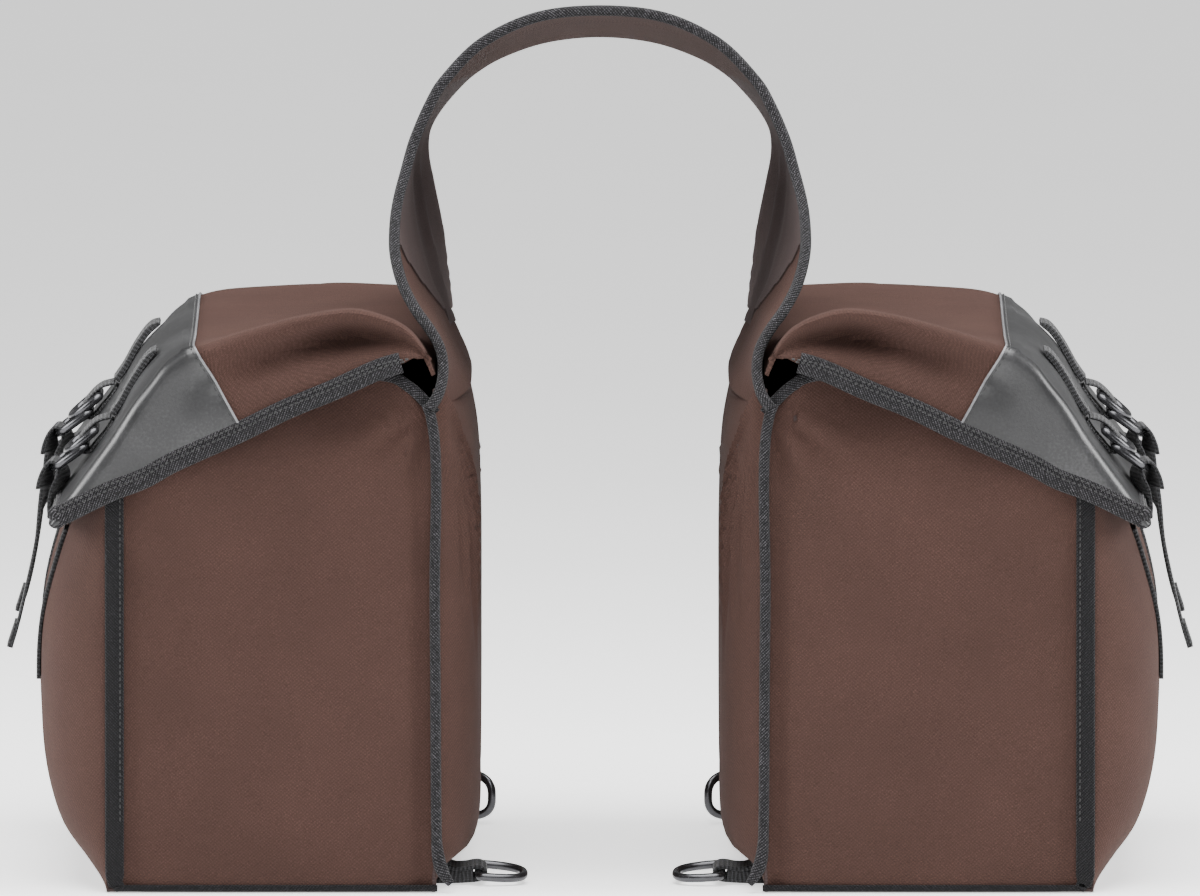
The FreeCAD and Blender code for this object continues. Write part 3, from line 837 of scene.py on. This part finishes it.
# a closure in side view, (u, z): the strap sewn on the leather with its share of the
# lid's droop, the two rings as (bar, bow), the loop that holds both bars, the strap
# threaded through them, its hanging tail and the tail's folded end, and how far the
# rear tail is swung out
LOOP_TOP = (250.5, 236.5)
FLAP_STRAP = [(227.0, 270.6), (228.2, 270.0), (231.4, 266.6), (234.6, 262.2), (239.3, 254.8),
              (244.6, 245.2), (LOOP_TOP[0] - 1.0, LOOP_TOP[1] + 1.5)]
FLAP_STRAP_DROOP = [1, 1, 0.55, 0.2, 0, 0, 0]
RINGS = (((258.5, 230.0), (272.5, 218.5)), ((263.5, 222.0), (280.0, 210.0)))
RING_SPAN, RING_STEPS = 33.0, 72        # width of a ring, and points round its wire
RING_LOOP = [LOOP_TOP, (257, 234.6), (262, 230.5), (266.4, 224.5), (266.2, 219.6),
             (261.6, 218.6), (257.2, 223.4), (252.8, 228.6), (249.2, 234.4)]
THREADED = [(282.0, 184.5), (281.8, 192), (279.8, 200), (276.9, 207), (277.6, 212.3),
            (281.2, 213.6), (284.2, 210.4), (286.2, 205), (287.2, 199.7)]
TAIL = [(284.9, 200.2), (285.4, 197.4), (286.8, 188), (288.2, 170), (291.6, 148),
        (295.4, 131), (299.6, 118)]
TAIL_FOLD = [(301.2, 118.4), (297.2, 130.6)]
REAR_SWING = [0, 0, 0.2, 0.9, 2.2, 2.4, 2.0]
REAR_FOLD_SWING = 1.7
ANCHOR_LOW, ANCHOR_HIGH = 102, 179      # ends of the strap sewn on the outer panel, z


def cinch(side, name, word, y):
    """Rings, their loop, the threaded strap and its tail."""
    body = f"{name}_{word}_cinch"
    loop = join(f"{name}_{word}_ring_loop", [strap_mesh(RING_LOOP, y, thickness=1.3, count=70)],
                [WEB_MAT], side)
    settle(loop, "webbing", body, f"{body}_loop")
    rings = [ring_mesh((bar[0], y, bar[1]), (bow[0], y, bow[1]), (0, 1, 0), RING_SPAN)
             for bar, bow in RINGS]
    rings = join(f"{name}_{word}_rings", rings, [METAL_MAT], side, sharp=0)
    settle(rings, "ring_metal", body, f"{body}_rings")
    strap = join(f"{name}_{word}_threaded_strap", [strap_mesh(THREADED, y, thickness=1.6, twist=1)],
                 [WEB_MAT], side)
    settle(strap, "webbing", body, f"{body}_strap")
    line, fold = TAIL, TAIL_FOLD
    if word == "rear":
        line = [(u + swing, z) for (u, z), swing in zip(TAIL, REAR_SWING)]
        fold = [(u + REAR_FOLD_SWING, z) for u, z in TAIL_FOLD]
    tail = join(f"{name}_{word}_tail",
                [strap_mesh(line, y, twist=1), strap_mesh(fold, y, count=12)], [WEB_MAT], side)
    settle(tail, "webbing", f"{name}_{word}_tail", f"{name}_{word}_strap_tail")


def closures(side, name):
    """Both cinches, the straps sewn on the leather and those sewn on the outer panel."""
    straps, anchors = [], []
    wall = outer_grid()
    for word, y in STRAPS:
        cinch(side, name, word, y)
        line = [(u, z - droop(u, y) * share) for (u, z), share in zip(FLAP_STRAP, FLAP_STRAP_DROOP)]
        straps.append(strap_mesh(line, y, thickness=3.4, blunt=True))
        column = int(np.argmin(np.abs(wall[0, :, 1] - y)))
        height = np.linspace(ANCHOR_LOW, ANCHOR_HIGH, 9)
        face = np.interp(height, wall[:, column, 2], wall[:, column, 0])
        anchors.append(strap_mesh(np.stack([face + 1.3, height], axis=1), y, thickness=2.0))
    piece = join(f"{name}_flap_webbing", straps, [WEB_MAT], side)
    settle(piece, "webbing", f"{name}_flap", f"{name}_flap_straps")
    piece = join(f"{name}_anchor_webbing", anchors, [WEB_MAT], side)
    settle(piece, "webbing", "bags", f"{name}_anchor_straps")


def turned(points, centre, degrees):
    """Points turned about an axis along X through centre."""
    a = math.radians(degrees)
    p = np.array(points, float) - centre
    y = p[..., 1] * math.cos(a) - p[..., 2] * math.sin(a)
    z = p[..., 1] * math.sin(a) + p[..., 2] * math.cos(a)
    return np.stack([p[..., 0], y, z], axis=-1) + centre


# middle of each tie ring's bar
REAR_BAR = np.array([62.0, -122.0, 6.3])
FRONT_BAR = np.array([71.0, 156.5, 14.0])


def rear_tie(side, name):
    """Ring that lies out from the bag's foot, in a stitched tab folded round its bar."""
    verts, faces, uv = ring_mesh(REAR_BAR, REAR_BAR - [23, 0, 1.9], (0, 1, 0), 26.0)
    ring = join(f"{name}_rear_tie_ring", [(turned(verts, REAR_BAR, 8), faces, uv)], [METAL_MAT],
                side, sharp=0)
    settle(ring, "ring_metal", f"{name}_rear_ring", f"{name}_rear_base_ring")
    # (u, z) line and thickness: the fold round the bar, and the stitched stack behind it
    layers = [
        ([(84, 15.5), (80, 11.6), (75, 8.8), (69, 8.6), (65.5, 9.3), (62, 9.6), (59.4, 8.4),
          (58.7, 6.3), (59.4, 4.1), (62, 3.2), (66, 2.7), (76, 2.2), (88, 2.2)], 2.2),
        ([(65.0, 5.6), (68.5, 5.3), (72, 4.9), (78, 6.0), (85, 8.6)], 5.2),
    ]
    parts = [strap_mesh(line, REAR_BAR[1], width=17, thickness=deep) for line, deep in layers]
    parts = [(turned(verts, REAR_BAR, 6), faces, uv) for verts, faces, uv in parts]
    tab = join(f"{name}_rear_tie_tab", parts, [WEB_MAT], side)
    settle(tab, "webbing", "bags", f"{name}_rear_ring_tab")


def front_tie(side, name):
    """Ring that stands on edge, in a narrow tab."""
    ring = ring_mesh(FRONT_BAR, FRONT_BAR - [15, 13.5, 0], (0, 0, 1), 22.0)
    ring = join(f"{name}_front_tie_ring", [ring], [METAL_MAT], side, sharp=0)
    settle(ring, "ring_metal", f"{name}_front_ring", f"{name}_front_base_ring")
    wrap = smooth([(82, 160.0), (76, 160.4), (71.6, 160.4), (68.2, 158.8), (67.4, 155.2),
                   (70, 152.9), (75, 152.2), (81, 151.6)], 50)
    path = np.stack([wrap[:, 0], wrap[:, 1], np.full(50, FRONT_BAR[2])], axis=1)
    ups = np.cross(unit(np.gradient(path, axis=0)), [0, 0, 1])
    tab = join(f"{name}_front_tie_tab", [sweep(path, ups, rounded(12, 1.5, 0.7))], [WEB_MAT], side)
    settle(tab, "webbing", "bags", f"{name}_front_ring_tab")


# ---- bridge -----------------------------------------------------------------
BRIDGE_ROWS, BRIDGE_COLUMNS = 181, 61
LINING_ROWS = 120
# z of the charcoal sheet's foot at the near edge, its fall across the bridge, and its lowest z; this foot
# is the painted edge of the shade inside the arch, so the lit strip beside the near edge stays brown
SHADE_FOOT_NEAR, SHADE_FOOT_FALL, SHADE_FOOT_LOWEST = 332, 112, 269
# painted light: above this height the crown's underside, which catches the light, keeps the brown canvas
# instead of the charcoal
SHADE_TOP = 0.398          # metres; above it the crown's underside is canvas again


def bridge_grid():
    """Bridge from the left bag over the crown to the right bag, near edge to far edge."""
    line = []
    for s, order in ((-1, BRIDGE), (1, BRIDGE[-2::-1])):
        for near, far, half in order:
            line.append([s * near[0], -half, near[1], s * far[0], half, far[1]])
    both = smooth(line, BRIDGE_ROWS)
    near, far = both[:, None, :3], both[:, None, 3:]
    share = np.linspace(0, 1, BRIDGE_COLUMNS)[None, :, None]
    grid = near * (1 - share) + far * share
    x, y, z = grid[..., 0], grid[..., 1], grid[..., 2]
    j = share[..., 0]
    # the cloth domes outward between its two taped edges
    run = np.gradient(both[:, :3], axis=0)[:, None]
    away = unit(np.stack([-run[..., 2], 0 * run[..., 1], run[..., 0]], axis=-1))
    dome = 2.6 * np.sin(math.pi * j ** 0.85) * ramp(z, 300, 375)
    x += away[..., 0] * dome
    z += away[..., 2] * dome
    # upright folds gather toward the far side of each leg
    leg = ramp(-z, -392, -330)
    crease = np.abs(np.sin(j * 14 + z / 95 + 0.5 * np.sin(z / 22))) - 0.62
    folds = 5.2 * crease * ramp(j, 0.35, 0.6) * leg * ramp(-np.abs(y), -166, -135)
    x += np.sign(x) * (folds + 2.4 * leg * ramp(j, 0.4, 0.75))
    # its foot runs on into the rack panel's face
    plan = rack_plan(y, z)
    climb = np.clip((z - 250) / 32, 0, 1)
    foot = (1 - climb) ** 2 * (1 + climb) * plan ** 0.5
    face = U_RACK - (U_RACK - RACK_FACE) * RACK_TOP * plan - 0.6
    x += np.sign(x) * (face - np.abs(x)) * foot
    return np.stack([x, y, z], axis=2)


def bridge_lining(grid, out):
    """Charcoal cloth inside the arch, its foot higher at the near edge than at the far one: partly the
    arch's inner layer, partly painted shade, dark on the shaded legs and brown on the lit crown.
    """
    z = grid[..., 2]
    inner = np.zeros((LINING_ROWS, BRIDGE_COLUMNS, 3))
    for j in range(BRIDGE_COLUMNS):
        low = max(SHADE_FOOT_NEAR - SHADE_FOOT_FALL * j / (BRIDGE_COLUMNS - 1), SHADE_FOOT_LOWEST)
        start = int(np.argmax(z[:, j] > low))
        stop = BRIDGE_ROWS - int(np.argmax(z[::-1, j] > low))
        both = resample(np.hstack([grid[start:stop, j], out[start:stop, j]]), LINING_ROWS)
        inner[:, j] = both[:, :3] - unit(both[:, 3:]) * 2.1
    lining = cloth("bridge_lining_and_shade_cloth", inner, 0.9, [LINING_AND_SHADE_MAT, CANVAS_MAT])
    # painted light and shade: faces above the crown's height limit take the brown canvas where light
    # reaches, those below keep the charcoal that paints the legs' shade
    for face in lining.data.polygons:
        face.material_index = 1 if face.center.z > SHADE_TOP else 0
    settle(lining, "lining", "bags", "bridge_lining")


def bridge():
    grid = bridge_grid()
    out = grid_normals(grid)
    out *= np.sign(out[len(grid) // 2, 20, 2])
    canvas = cloth("bridge_cloth", grid, FLAP_CLOTH, [CANVAS_MAT])
    settle(canvas, "canvas", "bags", "bridge_canvas")
    bridge_lining(grid, out)
    parts = []
    # (column, way out along y, inset, depth) of the tape on the near and the far edge
    for edge, word, inset, deep in ((0, -1, 1.3, 5.4), (-1, 1, 0.3, 3.4)):
        path = grid[:, edge] - out[:, edge] * inset - [0, word * 1.8, 0]
        # each end runs on into the seam tape of the bag below
        foot = ramp(-path[:, 2], -264, -252)[:, None]
        path[:, 1:2] += word * foot * 2.6
        parts.append(sweep(path, out[:, edge], rounded(7.0, deep, 2.0)))
    settle(join("bridge_tape", parts, [TAPE_MAT]), "tape", "bags", "bridge_bindings")


def boards():
    """Stiffener boards inside the bags keep their CAD shape."""
    for name in ("left", "right"):
        for word in ("rack_board", "base_board"):
            for slot in frame["nodes"][f"{name}_{word}"].material_slots:
                slot.material = BOARD_MAT


# ---- camera, light, floor ---------------------------------------------------
FLOOR_HALF, FLOOR_DROP = 6.0, 0.0005    # metres
SOFTBOXES = (               # name, place and size in metres, power in watts
    ("left_softbox", (-1.6, -0.15, 0.7), 0.9, 32),
    ("right_softbox", (1.6, -0.15, 0.7), 0.9, 32),
    ("top_softbox", (0, -0.3, 1.5), 1.5, 66),
    ("front_softbox", (0, -1.3, 1.0), 0.9, 9),
)
AIM = (0, 0, 0.15)          # what the softboxes face, metres
WORLD_LIGHT, WORLD_SEEN = 0.2, 6.0      # strength of the surroundings as light, and as seen


def floor():
    data = bpy.data.meshes.new("floor")
    a = FLOOR_HALF
    data.from_pydata([(-a, -a, 0), (a, -a, 0), (a, a, 0), (-a, a, 0)], [], [(0, 1, 2, 3)])
    s = Shader("pale_floor", Roughness=0.9, Specular_IOR_Level=0.1, Emission_Strength=1.0,
               Emission_Color=(1, 1, 1, 1))
    s.out("Base Color", s.colour(s.noise(3, 2), [(0.3, (0.86, 0.86, 0.86)), (0.7, (0.9, 0.9, 0.9))]))
    data.materials.append(s.material)
    made = bpy.data.objects.new("floor", data)
    bpy.context.scene.collection.objects.link(made)
    made.location.z = -FLOOR_DROP


def facing(place, target):
    """Turn of a lamp or camera at place that looks at target."""
    return (Vector(target) - Vector(place)).to_track_quat("-Z", "Y").to_euler()


def light():
    """Four softboxes and an even white world, brighter where the camera sees it."""
    world = bpy.data.worlds.new("studio")
    bpy.context.scene.world = world
    world.use_nodes = True
    tree = world.node_tree
    background = tree.nodes["Background"].inputs
    background["Color"].default_value = (1, 1, 1, 1)
    seen = tree.nodes.new("ShaderNodeLightPath").outputs["Is Camera Ray"]
    level = tree.nodes.new("ShaderNodeMapRange")
    level.inputs["To Min"].default_value = WORLD_LIGHT
    level.inputs["To Max"].default_value = WORLD_SEEN
    tree.links.new(seen, level.inputs["Value"])
    tree.links.new(level.outputs["Result"], background["Strength"])
    for name, place, size, power in SOFTBOXES:
        lamp = bpy.data.lights.new(name, "AREA")
        lamp.energy = power
        lamp.size = size
        made = bpy.data.objects.new(name, lamp)
        bpy.context.scene.collection.objects.link(made)
        made.location = place
        made.rotation_euler = facing(place, AIM)


def camera():
    """Long lens, a little above the object, looking along +Y."""
    distance, elevation, view_width = 20.0, math.radians(6.0), 0.612
    target = Vector((0, -HALF / 1000, 0.228))
    data = bpy.data.cameras.new("camera")
    data.sensor_width = 36
    data.lens = data.sensor_width * distance / view_width
    data.clip_end = 100
    made = bpy.data.objects.new("camera", data)
    bpy.context.scene.collection.objects.link(made)
    made.location = target + Vector((0, -math.cos(elevation), math.sin(elevation))) * distance
    made.rotation_euler = facing(made.location, target)
    bpy.context.scene.camera = made


floor()
light()
camera()
for side, name in ((1, "right"), (-1, "left")):
    shell(side, name)
    outer_seam(side, name)
    rack_seam(side, name)
    mouth_binding(side, name)
    flap(side, name)
    closures(side, name)
    rear_tie(side, name)
    front_tie(side, name)
bridge()
boards()
